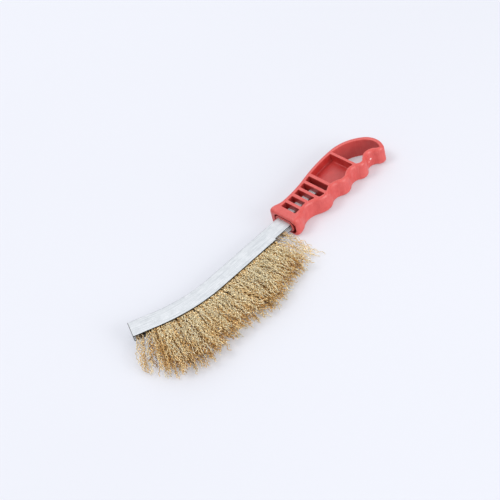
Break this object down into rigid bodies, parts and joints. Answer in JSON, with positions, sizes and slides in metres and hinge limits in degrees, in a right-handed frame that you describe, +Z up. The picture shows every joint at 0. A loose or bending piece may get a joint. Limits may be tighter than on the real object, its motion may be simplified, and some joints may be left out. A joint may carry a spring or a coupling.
{
  "type": "wire brush",
  "caption": "Hand wire brush: moulded pistol-style plastic handle with finger grooves, ribs and a hanging loop, a bent steel channel and a strip of crimped brass-coloured wire.",
  "frame": {"origin": "on the flat underside of the collar, on the brush's centre line, at the surface the brush lies on", "axes": "+X from the channel's free end to the handle's end, +Y towards the back of the hand (away from the bristles), +Z up, square to the face the brush lies on"},
  "size_m": [0.2994, 0.0804, 0.018],
  "materials": {
    "red_plastic": "satin moulded polypropylene",
    "zinc_steel": "pale zinc-coated sheet, satin",
    "bare_wire": "drawn wire",
    "brass_wire": "crimped brass-coloured wire"
  },
  "bodies": {
    "root": {"handle": "red_plastic", "steel_channel": "zinc_steel", "core_wire": "bare_wire", "bristle_bundle_01": "brass_wire", "bristle_bundle_02": "brass_wire", "bristle_bundle_03": "brass_wire", "bristle_bundle_04": "brass_wire", "bristle_bundle_05": "brass_wire", "bristle_bundle_06": "brass_wire", "bristle_bundle_07": "brass_wire", "bristle_bundle_08": "brass_wire", "bristle_bundle_09": "brass_wire", "bristle_bundle_10": "brass_wire", "bristle_bundle_11": "brass_wire", "bristle_bundle_12": "brass_wire", "bristle_bundle_13": "brass_wire", "bristle_bundle_14": "brass_wire", "bristle_bundle_15": "brass_wire", "bristle_bundle_16": "brass_wire", "bristle_bundle_17": "brass_wire", "bristle_bundle_18": "brass_wire", "bristle_bundle_19": "brass_wire", "bristle_bundle_20": "brass_wire", "bristle_bundle_21": "brass_wire", "bristle_bundle_22": "brass_wire", "bristle_bundle_23": "brass_wire", "bristle_bundle_24": "brass_wire"}
  },
  "joints": []
}
